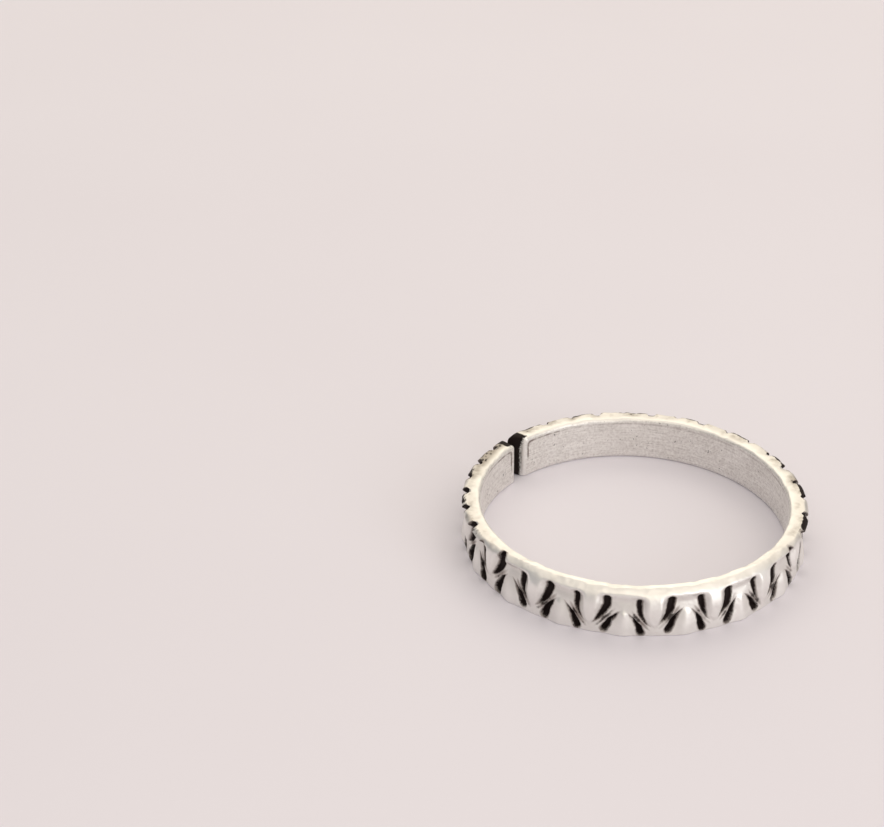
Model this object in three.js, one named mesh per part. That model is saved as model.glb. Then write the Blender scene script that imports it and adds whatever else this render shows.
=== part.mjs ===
// Open toe ring cast in silver: one narrow band with a slit at the back, so that it can be squeezed to size.
// Two interlocking rows of pointed petals run round its outer face. One row hangs from the upper rim and the
// other stands on the lower rim, half a pitch apart, and a pair of cut grooves outlines each petal and meets
// at its tip. The ground that is left between the grooves is a zigzag ridge.
// Millimetres, +Z up. The ring lies on its lower rim, with its axis on Z and the slit on +Y.

import * as THREE from "three";
import { LoftGeometry } from "three/addons/geometries/LoftGeometry.js";

// Band
const INNER_RADIUS = 8.0;
const BAND_WIDTH = 2.5;
const BAND_THICKNESS = 1.0; // from the inner wall to a petal's crown
const INNER_EDGE_ROUND = 0.18; // radius along both edges of the inner wall
const RIM_ROUND = 0.3; // radius where the outer face turns over into a rim
const SLIT_GAP = 0.8;
const END_ROUND = 0.22; // radius round each end of the band, at the slit

// Petals
const PETALS_PER_ROW = 17;
const PETAL_PITCH_DEG = 20.2;
const FIRST_PETAL_DEG = 14.4; // from the middle of the slit to the first hanging petal
const PETAL_BASE_INSET = 0.15; // from a rim to the base of the petals that start there
const PETAL_LENGTH = 1.63;
const PETAL_RISE = 0.1; // crown above the ground
const PAST_TIP = { halfWidth: 0.03, grooveWidth: 0.05, grooveDepth: 0 };

// One petal and its grooves, from base to tip. "along" is a share of the petal's length.
const PETAL_SECTIONS = [
  { along: 0.0, halfWidth: 0.66, grooveWidth: 0.26, grooveDepth: 0.14 },
  { along: 0.18, halfWidth: 0.7, grooveWidth: 0.32, grooveDepth: 0.26 },
  { along: 0.45, halfWidth: 0.6, grooveWidth: 0.3, grooveDepth: 0.28 },
  { along: 0.7, halfWidth: 0.4, grooveWidth: 0.24, grooveDepth: 0.26 },
  { along: 0.88, halfWidth: 0.2, grooveWidth: 0.17, grooveDepth: 0.2 },
  { along: 1.0, halfWidth: 0.05, grooveWidth: 0.08, grooveDepth: 0.06 },
];

// The lines that run along a petal on one side of its centre, from the centre outwards. "across" counts half
// widths from the centre and "cut" counts groove widths beyond the petal's edge.
const PETAL_LINES = [
  { across: 0, cut: 0, crown: 1, depth: 0 },
  { across: 0.6, cut: 0, crown: 0.75, depth: 0 },
  { across: 1, cut: 0, crown: 0.1, depth: 0 },
  { across: 1, cut: 0.5, crown: 0, depth: 1 },
  { across: 1, cut: 1, crown: 0, depth: 0 },
];

const GROUND_RADIUS = INNER_RADIUS + BAND_THICKNESS - PETAL_RISE;
const SLIT_DEG = 90;
const HALF_SLIT_DEG = THREE.MathUtils.radToDeg(Math.asin(SLIT_GAP / 2 / INNER_RADIUS));

// A quarter round in two chords: from one face of a rounded edge to the other, in shares of its radius.
const QUARTER_ROUND = [
  { in: 0, back: 1 },
  { in: 1 - Math.SQRT1_2, back: 1 - Math.SQRT1_2 },
  { in: 1, back: 0 },
];

// Heights of the section's points down the outer face, mirrored at the middle of the band.
const LOWER_HEIGHTS = [
  0,
  RIM_ROUND / 8,
  PETAL_BASE_INSET,
  PETAL_BASE_INSET + 0.18 * PETAL_LENGTH,
  BAND_WIDTH - PETAL_BASE_INSET - PETAL_LENGTH,
];
const OUTER_HEIGHTS = [
  ...LOWER_HEIGHTS.map((height) => BAND_WIDTH - height),
  BAND_WIDTH / 2,
  ...LOWER_HEIGHTS.toReversed(),
];

// The petal table at one place along the petal, between its rows or past its tip.
function petalSection(along) {
  const next = PETAL_SECTIONS.findIndex((row) => row.along >= along);
  if (next < 0) return PAST_TIP;
  const b = PETAL_SECTIONS[next];
  const a = PETAL_SECTIONS[Math.max(next - 1, 0)];
  const share = THREE.MathUtils.clamp((along - a.along) / (b.along - a.along || 1), 0, 1);
  const between = (name) => THREE.MathUtils.lerp(a[name], b[name], share);
  return {
    halfWidth: between("halfWidth"),
    grooveWidth: between("grooveWidth"),
    grooveDepth: between("grooveDepth"),
  };
}

// How far the outer face has turned in towards a rim at this height.
function rimDrop(height) {
  const fromRim = Math.min(height, BAND_WIDTH - height);
  const past = Math.max(RIM_ROUND - fromRim, 0);
  return RIM_ROUND - Math.sqrt(RIM_ROUND ** 2 - past ** 2);
}

// The share of the relief that is left where it runs out over a rim.
function rimFade(height) {
  const fromRim = Math.min(height, BAND_WIDTH - height);
  return THREE.MathUtils.smoothstep(fromRim, -PETAL_BASE_INSET, PETAL_BASE_INSET);
}

// A line up the band beside a petal: its angle and its relief at any height.
function petalLine(centreDeg, hanging, line, side) {
  return (height) => {
    const fromBase = (hanging ? BAND_WIDTH - height : height) - PETAL_BASE_INSET;
    const petal = petalSection(Math.max(fromBase / PETAL_LENGTH, 0));
    const offset = line.across * petal.halfWidth + line.cut * petal.grooveWidth;
    const fullness = Math.sqrt(petal.halfWidth / PETAL_SECTIONS[0].halfWidth);
    return {
      angleDeg: centreDeg + side * THREE.MathUtils.radToDeg(offset / GROUND_RADIUS),
      relief: line.crown * fullness * PETAL_RISE - line.depth * petal.grooveDepth,
    };
  };
}

// A plain line straight up the band, with no relief.
function plainLine(angleDeg) {
  return () => ({ angleDeg, relief: 0 });
}

// Every line up the petals and their grooves, in order round the ring from one side of the slit to the other.
function petalLines() {
  const outwards = PETAL_LINES.slice(1);
  const lines = [];
  for (let i = 0; i < 2 * PETALS_PER_ROW; i++) {
    const centreDeg = SLIT_DEG + FIRST_PETAL_DEG + (i * PETAL_PITCH_DEG) / 2;
    const hanging = i % 2 === 0;
    for (const line of [...outwards].reverse()) lines.push(petalLine(centreDeg, hanging, line, -1));
    lines.push(petalLine(centreDeg, hanging, PETAL_LINES[0], 0));
    for (const line of outwards) lines.push(petalLine(centreDeg, hanging, line, 1));
  }
  return lines;
}

function onBand(radius, angleDeg, height) {
  const angle = THREE.MathUtils.degToRad(angleDeg);
  return new THREE.Vector3(radius * Math.cos(angle), radius * Math.sin(angle), height);
}

// The closed section of the band along one line: down the outer face, round the lower rim and up the inner wall.
function bandSection(line) {
  const outer = OUTER_HEIGHTS.map((height) => {
    const { angleDeg, relief } = line(height);
    return onBand(GROUND_RADIUS - rimDrop(height) + relief * rimFade(height), angleDeg, height);
  });
  const lowerEdge = QUARTER_ROUND.map((step) => ({
    radius: INNER_RADIUS + INNER_EDGE_ROUND * step.back,
    height: INNER_EDGE_ROUND * step.in,
  }));
  const upperEdge = lowerEdge.map(({ radius, height }) => ({ radius, height: BAND_WIDTH - height })).reverse();
  const inner = [...lowerEdge, ...upperEdge].map(({ radius, height }) =>
    onBand(radius, line(height).angleDeg, height),
  );
  return [...outer, ...inner];
}

// One end of the band, from its flat face at the slit to the full section: a plain section that is drawn in
// towards its own middle by the rounding. "inwards" is 1 where the band goes on to larger angles, and else -1.
function bandEnd(slitSideDeg, inwards) {
  const middle = { radius: (INNER_RADIUS + GROUND_RADIUS) / 2, height: BAND_WIDTH / 2 };
  const halfThickness = middle.radius - INNER_RADIUS;
  return QUARTER_ROUND.map((step) => {
    const angleDeg = slitSideDeg + inwards * THREE.MathUtils.radToDeg((END_ROUND * step.in) / INNER_RADIUS);
    const acrossScale = 1 - (END_ROUND * step.back) / halfThickness;
    const heightScale = 1 - (END_ROUND * step.back) / middle.height;
    return bandSection(plainLine(angleDeg)).map((point) => {
      const radius = Math.hypot(point.x, point.y);
      return onBand(
        middle.radius + (radius - middle.radius) * acrossScale,
        angleDeg,
        middle.height + (point.z - middle.height) * heightScale,
      );
    });
  });
}

function makeBand() {
  const sections = [
    ...bandEnd(SLIT_DEG + HALF_SLIT_DEG, 1),
    ...petalLines().map(bandSection),
    ...bandEnd(SLIT_DEG + 360 - HALF_SLIT_DEG, -1).reverse(),
  ];
  const geometry = new LoftGeometry(sections, { capStart: true, capEnd: true });
  const silver = new THREE.MeshStandardMaterial({ color: 0xe4dfd8, roughness: 0.32, metalness: 1 });
  const band = new THREE.Mesh(geometry, silver);
  band.name = "band";
  return band;
}

const toeRing = new THREE.Group();
toeRing.add(makeBand());

export default toeRing;
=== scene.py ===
"""Looks for an open toe ring in oxidised silver: one cast band with two interlocking rows of cut petals.

Sizes are in millimetres and degrees until a mesh is finished, and the finished mesh is in metres. The ring
lies on its lower rim, with its axis on Z and its slit on +Y.
"""

import logging
import math
from dataclasses import asdict, dataclass, field, fields
from enum import Enum
from typing import Any

import bpy
from mathutils import Euler, Matrix, Vector

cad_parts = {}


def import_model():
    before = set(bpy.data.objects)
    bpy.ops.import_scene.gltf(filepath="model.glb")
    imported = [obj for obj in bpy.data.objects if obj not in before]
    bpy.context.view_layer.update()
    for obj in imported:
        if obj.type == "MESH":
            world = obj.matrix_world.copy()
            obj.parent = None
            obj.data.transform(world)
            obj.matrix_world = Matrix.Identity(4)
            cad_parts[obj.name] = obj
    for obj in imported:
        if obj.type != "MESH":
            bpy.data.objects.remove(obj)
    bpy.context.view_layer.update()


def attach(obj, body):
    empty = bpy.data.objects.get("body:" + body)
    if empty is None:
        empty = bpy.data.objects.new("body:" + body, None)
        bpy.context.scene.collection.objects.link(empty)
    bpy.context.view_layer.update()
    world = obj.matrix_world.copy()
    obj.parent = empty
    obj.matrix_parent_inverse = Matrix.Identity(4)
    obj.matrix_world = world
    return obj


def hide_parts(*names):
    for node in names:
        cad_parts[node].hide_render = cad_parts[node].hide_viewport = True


LOG = logging.getLogger("toe_ring")
MM = 0.001
INNER_RADIUS = 8.0
WIDTH = 2.5

Tree = bpy.types.NodeTree
Node = bpy.types.Node
Socket = bpy.types.NodeSocket
Sockets = bpy.types.NodeOutputs
Colour = tuple[float, float, float, float]

# The kinds of node that come up often, and the setting for a soft step
MATH = "ShaderNodeMath"
VECTOR_MATH = "ShaderNodeVectorMath"
MAP_RANGE = "ShaderNodeMapRange"
MIX = "ShaderNodeMix"
NOISE = "ShaderNodeTexNoise"
ATTRIBUTE = "ShaderNodeAttribute"
COMBINE = "ShaderNodeCombineXYZ"
SEPARATE = "ShaderNodeSeparateXYZ"
NAMED = "GeometryNodeInputNamedAttribute"
STORE = "GeometryNodeStoreNamedAttribute"
POSITION = "GeometryNodeInputPosition"
MOVE = "GeometryNodeSetPosition"
TRANSFORM = "GeometryNodeTransform"
CURVE_TO_MESH = "GeometryNodeCurveToMesh"
RANDOM = "FunctionNodeRandomValue"
SMOOTH = {"interpolation_type": "SMOOTHSTEP"}


class Rim(Enum):
    """The rim that a row of petals starts from, and which way its petals point."""

    LOWER = 1
    UPPER = -1


def linear(code: str) -> Colour:
    """Turns an sRGB colour into the linear colour that shaders use.

    Args:
        code: The colour as six hex digits after a hash sign.

    Returns:
        Linear red, green and blue, with an alpha of 1.
    """
    parts = [int(code[i : i + 2], 16) / 255 for i in (1, 3, 5)]
    red, green, blue = (c / 12.92 if c <= 0.04045 else ((c + 0.055) / 1.055) ** 2.4 for c in parts)
    return red, green, blue, 1.0


def per_metre(size_mm: float) -> float:
    """Gives the texture scale, in repeats a metre, of a pattern whose features are size_mm across."""
    return 1.0 / (size_mm * MM)


def add_node(tree: Tree, kind: str, sockets: dict[Any, Any] | None = None, **settings: Any) -> Node:
    """Adds one node to a tree, with its settings, socket values and links.

    Args:
        tree: The tree that the node goes into.
        kind: The node's type name.
        sockets: Input name or number to a value, an output socket, or a node whose first output is meant.
        **settings: The node's own properties.

    Returns:
        The new node.
    """
    node = tree.nodes.new(kind)
    for name, value in settings.items():
        setattr(node, name, value)
    for key, value in (sockets or {}).items():
        named = [s for s in node.inputs if s.enabled and key in (s.name, s.identifier)]
        socket = node.inputs[key] if isinstance(key, int) else named[0]
        if isinstance(value, Node):
            value = next(s for s in value.outputs if s.enabled)
        if isinstance(value, Socket):
            tree.links.new(value, socket)
        else:
            socket.default_value = value
    return node


def new_geometry_tree(name: str, inputs: dict[str, str], outputs: list[str]) -> tuple[Tree, Node]:
    """Starts a Geometry Nodes tree with named inputs.

    Args:
        name: The tree's name.
        inputs: Input name to socket type, the last word of the type alone.
        outputs: The names of its geometry outputs.

    Returns:
        The tree and its group input node.
    """
    tree = bpy.data.node_groups.new(name, "GeometryNodeTree")
    for label, kind in inputs.items():
        tree.interface.new_socket(label, in_out="INPUT", socket_type=f"NodeSocket{kind}")
    for label in outputs:
        tree.interface.new_socket(label, in_out="OUTPUT", socket_type="NodeSocketGeometry")
    return tree, tree.nodes.new("NodeGroupInput")


@dataclass(frozen=True)
class SilverReadings:
    """What the silver's finish reads at each point of the band.

    Attributes:
        noises: The noise nodes by name.
        marks: The band's own attributes by name.
        strip: The place along the band, up it and out from its axis, in millimetres.
        axes: The same place, as three sockets.
        wall: A node that gives 1 on the flat inner wall, short of its rounded edges, and 0 elsewhere.
    """

    noises: dict[str, Node]
    marks: dict[str, Socket]
    strip: Socket
    axes: Sockets
    wall: Node


@dataclass(frozen=True)
class OxidisedSilver:
    """Sterling silver, cast, tumbled to a satin shine and blackened with liver of sulphur.

    The polish is worn back to bright metal on everything that stands proud. The sulphide stays in the grooves
    and on the sawn ends as a matt black with a ragged edge, and as a grey-brown bloom in the hollows.
    """

    name: str = "oxidised_sterling_silver"
    bright: str = "#fdfcf8"
    dull: str = "#efedea"
    bloom: str = "#80706a"
    sulphide: str = "#1d1312"
    tarnish: str = "#958b80"
    roughness: float = 0.44
    sulphide_roughness: float = 0.6
    ragged_mm: float = 0.09  # teeth along the edge of the black
    blotch_mm: float = 0.45  # longer runs of that edge
    cloud_mm: float = 1.1  # clouds in the polish
    stain_mm: float = 0.7  # patches of tarnish
    grain_mm: float = 0.11  # finer on the real metal, and drawn this coarse so that it shows
    pit_mm: float = 0.17  # casting pits
    fleck_mm: float = 0.13  # breaks in the brush lines
    brush_line_mm: float = 0.05  # finer on the real wall, and drawn this coarse so that it shows
    brush_run_mm: float = 1.6  # the length of a brush line
    bump_mm: float = 0.03  # the depth of the grain and the brush lines
    inner_radius_mm: float = INNER_RADIUS
    width_mm: float = WIDTH
    edge_mm: float = 0.3  # from the edges of the inner wall to the dark line along them

    def material(self) -> bpy.types.Material:
        """Builds the material from the attributes that the band carries.

        Returns:
            The finished material.
        """
        material = bpy.data.materials.new(self.name)
        material.use_nodes = True
        tree = material.node_tree
        tree.nodes.clear()
        read = self.readings(tree)
        noises = read.noises
        tarnish = self.tarnishing(tree, read)
        # The bloom layer also paints a shadow line under the upper lip.
        bloom = self.blooming(tree, read)
        black = self.blackening(tree, read, tarnish)

        # The inner wall is only brushed round, so it shows short fine lines and is duller than the face.
        along = (1 / self.brush_run_mm, 1 / self.brush_line_mm, 1 / self.brush_line_mm)
        drawn = add_node(tree, VECTOR_MATH, {0: read.strip, 1: along}, operation="MULTIPLY")
        lines = add_node(tree, NOISE, {"Vector": drawn, "Scale": 1.0, "Detail": 3.0})
        streaks = add_node(tree, MATH, {0: lines, 1: noises["fleck"]}, operation="MULTIPLY")
        scored = add_node(
            tree, MAP_RANGE, {"Value": streaks, "From Min": 0.14, "From Max": 0.46, "To Max": 0.45}
        )
        brushed = add_node(tree, MATH, {0: scored, 1: read.wall}, operation="MULTIPLY")

        # Colour, laid over the bright metal
        layers = (
            (noises["cloud"], self.dull),
            (brushed, self.bloom),
            (tarnish, self.tarnish),
            (bloom, self.bloom),
            (black, self.sulphide),
        )
        colour = linear(self.bright)
        for factor, tint in layers:
            colour = add_node(tree, MIX, {"Factor": factor, "A": colour, "B": linear(tint)}, data_type="RGBA")
        metallic = add_node(tree, MATH, {0: 1.0, 1: black}, operation="SUBTRACT")
        glint = add_node(tree, MAP_RANGE, {"Value": black, "To Min": 0.5, "To Max": 0.15})

        # Gloss
        satin = add_node(
            tree,
            MAP_RANGE,
            {
                "Value": noises["cloud"],
                "From Min": 0.3,
                "From Max": 0.7,
                "To Min": self.roughness - 0.06,
                "To Max": self.roughness + 0.1,
            },
        )
        duller = add_node(tree, MATH, {0: bloom, 1: 0.3, 2: satin}, operation="MULTIPLY_ADD")
        wall_gloss = add_node(tree, MATH, {0: read.wall, 1: 0.1, 2: duller}, operation="MULTIPLY_ADD")
        roughness = add_node(
            tree, MIX, {"Factor": black, "A": wall_gloss, "B": self.sulphide_roughness}, data_type="FLOAT"
        )

        # Fine relief
        height = add_node(tree, MATH, {0: brushed, 1: 1.2, 2: noises["grain"]}, operation="MULTIPLY_ADD")
        bump = add_node(
            tree, "ShaderNodeBump", {"Height": height, "Strength": 0.25, "Distance": self.bump_mm * MM}
        )
        shader = add_node(
            tree,
            "ShaderNodeBsdfPrincipled",
            {
                "Base Color": colour,
                "Metallic": metallic,
                "Roughness": roughness,
                "Specular IOR Level": glint,
                "Normal": bump,
            },
        )
        add_node(tree, "ShaderNodeOutputMaterial", {"Surface": shader})
        return material

    def readings(self, tree: Tree) -> SilverReadings:
        """Adds the noises and reads the attributes that say where a point of the band lies.

        Args:
            tree: The material's tree.

        Returns:
            What the finish reads.
        """
        place = add_node(tree, "ShaderNodeTexCoord").outputs["Object"]
        patterns = (
            ("ragged", self.ragged_mm, 3.0),
            ("blotch", self.blotch_mm, 2.0),
            ("cloud", self.cloud_mm, 4.0),
            ("stain", self.stain_mm, 3.0),
            ("grain", self.grain_mm, 4.0),
            ("pit", self.pit_mm, 2.0),
            ("fleck", self.fleck_mm, 2.0),
        )
        noises = {
            label: add_node(tree, NOISE, {"Vector": place, "Scale": per_metre(size_mm), "Detail": detail})
            for label, size_mm, detail in patterns
        }
        marks = {
            label: add_node(tree, ATTRIBUTE, attribute_name=label).outputs["Fac"]
            for label in ("groove", "ridge", "hollow", "lee", "lip", "unworn", "from_end", "far")
        }
        strip = add_node(tree, ATTRIBUTE, attribute_name="strip").outputs["Vector"]
        axes = add_node(tree, SEPARATE, {0: strip}).outputs
        radius = self.inner_radius_mm
        wall = add_node(
            tree, MAP_RANGE, {"Value": axes["Z"], "From Min": radius + 0.09, "From Max": radius + 0.02}
        )
        return SilverReadings(noises, marks, strip, axes, wall)

    def blackening(self, tree: Tree, read: SilverReadings, tarnish: Node) -> Node:
        """Lays the black: in the grooves, on the sawn ends, along the unworn lip and in pits.

        Args:
            tree: The material's tree.
            read: What the finish reads.
            tarnish: The node that gives the share of tarnish.

        Returns:
            A node that gives 1 where the metal is black.
        """
        noises, marks, axes = read.noises, read.marks, read.axes

        # A fine and a coarse noise move the edge of the black, which is as ragged as the cut itself.
        shift = add_node(tree, MATH, {0: noises["ragged"], 1: 0.1, 2: -0.05}, operation="MULTIPLY_ADD")
        swing = add_node(tree, MATH, {0: noises["blotch"], 1: 0.12, 2: shift}, operation="MULTIPLY_ADD")
        edge = add_node(tree, MATH, {0: marks["groove"], 1: swing}, operation="ADD")
        cut = add_node(tree, MAP_RANGE, {"Value": edge, "From Min": 0.12, "From Max": 0.03}, **SMOOTH)

        # The sawn ends are black up to the rounded edge on the side of the toe, and over their upper corners.
        radius = self.inner_radius_mm
        upper = {"Value": axes["Y"], "From Min": self.width_mm - 0.7, "From Max": self.width_mm - 0.1}
        by_top = add_node(tree, MAP_RANGE, upper | {"To Min": -0.09, "To Max": 0.2})
        bare = add_node(tree, MAP_RANGE, upper | {"To Min": 0.3, "To Max": 0.14})
        out = add_node(tree, MATH, {0: axes["Z"], 1: bare}, operation="SUBTRACT")
        rough = add_node(tree, MATH, {0: noises["ragged"], 1: 0.3, 2: out}, operation="MULTIPLY_ADD")
        beyond = add_node(
            tree, MAP_RANGE, {"Value": rough, "From Min": radius + 0.12, "From Max": radius + 0.22}
        )
        reach = add_node(tree, MATH, {0: noises["blotch"], 1: 0.5, 2: by_top}, operation="MULTIPLY_ADD")
        past = add_node(tree, MATH, {0: reach, 1: marks["from_end"]}, operation="SUBTRACT")
        sawn = add_node(tree, MAP_RANGE, {"Value": past, "From Min": -0.02, "From Max": 0.03})
        end = add_node(tree, MATH, {0: sawn, 1: beyond}, operation="MULTIPLY")

        # The lip between the hanging petals keeps its black where nothing has rubbed it.
        patchy = add_node(tree, MATH, {0: noises["stain"], 1: 1.6, 2: marks["lip"]}, operation="MULTIPLY_ADD")
        frayed = add_node(tree, MATH, {0: noises["ragged"], 1: 0.4, 2: patchy}, operation="MULTIPLY_ADD")
        along_lip = add_node(tree, MAP_RANGE, {"Value": frayed, "From Min": 1.86, "From Max": 2.02}, **SMOOTH)

        # The inner wall has black pits, and the thickest tarnish a black crust.
        pit = {"Value": noises["pit"], "From Min": 0.69, "From Max": 0.76, "To Max": 0.85}
        pits = add_node(tree, MAP_RANGE, pit, **SMOOTH)
        pitted = add_node(tree, MATH, {0: pits, 1: read.wall}, operation="MULTIPLY")
        crusted = add_node(tree, MATH, {0: tarnish, 1: noises["pit"]}, operation="ADD")
        crust = add_node(
            tree, MAP_RANGE, {"Value": crusted, "From Min": 1.3, "From Max": 1.42, "To Max": 0.9}, **SMOOTH
        )

        # Patches of black bridge the thin ridge where two grooves nearly meet.
        meeting = add_node(
            tree, MATH, {0: noises["blotch"], 1: -0.7, 2: marks["ridge"]}, operation="MULTIPLY_ADD"
        )
        bridge = {"Value": meeting, "From Min": -0.15, "From Max": -0.27, "To Max": 0.88}
        bridged = add_node(tree, MAP_RANGE, bridge, **SMOOTH)
        black = cut
        for more in (end, along_lip, pitted, bridged, crust):
            black = add_node(tree, MATH, {0: black, 1: more}, operation="MAXIMUM")
        return black

    def tarnishing(self, tree: Tree, read: SilverReadings) -> Node:
        """Lays the thin tarnish: soft patches on the outer half of the unworn rim, most by the near end.

        Args:
            tree: The material's tree.
            read: What the finish reads.

        Returns:
            A node that gives the share of tarnish over the bright metal.
        """
        marks, axes = read.marks, read.axes
        top, radius = self.width_mm, self.inner_radius_mm
        rim = add_node(tree, MAP_RANGE, {"Value": axes["Y"], "From Min": top - 0.4, "From Max": top - 0.15})
        outer = add_node(
            tree, MAP_RANGE, {"Value": axes["Z"], "From Min": radius + 0.1, "From Max": radius + 0.5}
        )
        away = add_node(tree, MATH, {0: marks["far"], 1: 2.8, 2: marks["from_end"]}, operation="MULTIPLY_ADD")
        by_slit = add_node(
            tree, MAP_RANGE, {"Value": away, "From Min": 5.0, "From Max": 1.0, "To Max": 0.42}, **SMOOTH
        )
        spread = add_node(tree, MATH, {0: read.noises["stain"], 1: by_slit}, operation="ADD")
        patch = {"Value": spread, "From Min": 0.44, "From Max": 0.76, "To Min": 0.24, "To Max": 0.8}
        share = add_node(tree, MAP_RANGE, patch, **SMOOTH)
        kept = add_node(tree, MAP_RANGE, {"Value": marks["unworn"], "To Min": 0.1})
        for mask in (rim, outer, kept):
            share = add_node(tree, MATH, {0: share, 1: mask}, operation="MULTIPLY")
        return share

    def blooming(self, tree: Tree, read: SilverReadings) -> Node:
        """Lays the thin bloom beside the grooves and in the hollows, a painted shadow line under the upper
        lip, and a darker tone on thin ridges between grooves and in a thin line round the inner wall.

        Args:
            tree: The material's tree.
            read: What the finish reads.

        Returns:
            A node that gives the share of bloom and painted shadow over the bright metal.
        """
        noises, marks, axes = read.noises, read.marks, read.axes
        near_groove = {"Value": marks["groove"], "From Min": 0.14, "From Max": 0.0, "To Max": 0.8}
        relief = add_node(tree, MAP_RANGE, near_groove, **SMOOTH)
        thin_ridge = {"Value": marks["ridge"], "From Min": 0.38, "From Max": 0.1, "To Max": 0.9}
        narrow = add_node(tree, MAP_RANGE, thin_ridge, **SMOOTH)
        # Patches of a painted shadow line lie under the upper lip, in the bloom's colour.
        patchy = add_node(tree, MAP_RANGE, {"Value": noises["stain"], "From Min": 0.42, "From Max": 0.62})
        painted_lip_shadow = add_node(tree, MATH, {0: marks["lee"], 1: patchy}, operation="MULTIPLY")
        settled = add_node(tree, MATH, {0: marks["hollow"], 1: 0.2}, operation="MULTIPLY")
        for more in (narrow, painted_lip_shadow, settled):
            relief = add_node(tree, MATH, {0: relief, 1: more}, operation="MAXIMUM")
        cloud = {"Value": noises["cloud"], "From Min": 0.3, "From Max": 0.6, "To Min": 0.5}
        cloudy = add_node(tree, MAP_RANGE, cloud, **SMOOTH)
        on_face = add_node(tree, MATH, {0: relief, 1: cloudy}, operation="MULTIPLY")

        # A thin dark line follows the wall's upper edge and its ends, and fades away from the slit.
        from_end = marks["from_end"]
        to_top = add_node(tree, MATH, {0: self.width_mm, 1: axes["Y"]}, operation="SUBTRACT")
        nearest = add_node(tree, MATH, {0: to_top, 1: from_end, 2: 0.4}, operation="SMOOTH_MIN")
        inset = add_node(tree, MATH, {0: nearest, 1: self.edge_mm}, operation="SUBTRACT")
        either = add_node(tree, MATH, {0: inset}, operation="ABSOLUTE")
        on_wall = add_node(tree, MAP_RANGE, {"Value": either, "From Min": 0.09, "From Max": 0.02})
        fading = add_node(
            tree, MAP_RANGE, {"Value": from_end, "From Min": 3.0, "From Max": 0.3, "To Min": 0.3}
        )
        broken = add_node(tree, MAP_RANGE, {"Value": noises["blotch"], "From Min": 0.3, "From Max": 0.6})
        lower = add_node(tree, MAP_RANGE, {"Value": axes["Y"], "From Min": 0.6, "From Max": 1.5})
        for mask in (fading, broken, lower, read.wall):
            on_wall = add_node(tree, MATH, {0: on_wall, 1: mask}, operation="MULTIPLY")
        return add_node(tree, MATH, {0: on_face, 1: on_wall}, operation="MAXIMUM")


@dataclass(frozen=True)
class PaleBoard:
    """Matt painted board, pale and a little cool, which gives the ring a soft even ground."""

    name: str = "matt_painted_board"
    tint: str = "#e7e5ef"
    shade: str = "#e2dfe9"
    mottle_mm: float = 40.0
    roughness: float = 0.6

    def material(self) -> bpy.types.Material:
        """Builds the board's material, with a faint broad mottle.

        Returns:
            The finished material.
        """
        material = bpy.data.materials.new(self.name)
        material.use_nodes = True
        tree = material.node_tree
        tree.nodes.clear()
        place = add_node(tree, "ShaderNodeTexCoord").outputs["Object"]
        mottle = add_node(tree, NOISE, {"Vector": place, "Scale": per_metre(self.mottle_mm)})
        colour = add_node(
            tree, MIX, {"Factor": mottle, "A": linear(self.tint), "B": linear(self.shade)}, data_type="RGBA"
        )
        shader = add_node(
            tree, "ShaderNodeBsdfPrincipled", {"Base Color": colour, "Roughness": self.roughness}
        )
        add_node(tree, "ShaderNodeOutputMaterial", {"Surface": shader})
        return material


@dataclass(frozen=True)
class Stroke:
    """One cut groove down the side of a petal, in millimetres from the petal's centre line.

    Attributes:
        start: Where it starts, by the rim.
        side: Where its first handle is, a third of the way to the tip.
        turn: Where its second handle is, from which it turns in to the tip.
        end: Where it ends, by the tip.
        weight: How broad it is at its start, as a share of the usual width.
        taper: How late it thins out. At 1 it thins evenly all the way to the tip.
    """

    start: float
    side: float
    turn: float
    end: float
    weight: float
    taper: float


@dataclass(frozen=True)
class PetalRow:
    """One row of petals round the outer face, in millimetres and degrees.

    Attributes:
        rim: The rim that the petals start from.
        first_deg: From the middle of the slit to the first petal's centre.
        inset: From that rim to the start of the grooves.
        length: From the start of the grooves to the tip.
        left: The groove on the side towards smaller angles.
        right: The groove on the side towards larger angles.
        crown: How far in from its grooves a petal is full height. At 1 it has a ridge down its centre.
        tip: Its height at the tip, as a share of its height at the base.
        lift: How much nearer to the rim the grooves start where the rim isn't worn.
        seed: For the small differences between one petal and the next.
    """

    rim: Rim
    first_deg: float
    inset: float
    length: float
    left: Stroke
    right: Stroke
    crown: float
    tip: float
    lift: float
    seed: int


@dataclass(frozen=True)
class LaidRow:
    """One row of petals in the band's tree, laid out flat: X along the band and Y up it.

    Attributes:
        grooves: The grooves as edges, which carry their half width.
        spines: The petals' centre lines as edges.
        petals: The petals as faces.
    """

    grooves: Node
    spines: Node
    petals: Socket


@dataclass(frozen=True)
class BandSpot:
    """The fields of the band's tree that say where a point lies, in millimetres.

    Attributes:
        place: The point itself.
        outwards: The direction away from the ring's axis.
        strip: Along the band from the slit, up it, and out from the axis.
        height: Up from the lower rim.
        radius: Out from the axis.
        edges: From the edge of the nearest groove of each row, and below zero inside it.
        from_spines: From the nearest centre line of each row's petals.
        from_petals: From the nearest petal of each row, and zero inside it.
        from_end: Along the band from its nearer end.
        unworn: The share of the upper rim's cut edge that wear has left.
    """

    place: Node
    outwards: Node
    strip: Node
    height: Socket
    radius: Socket
    edges: list[Node]
    from_spines: list[Socket]
    from_petals: list[Socket]
    from_end: Node
    unworn: Node


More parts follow.
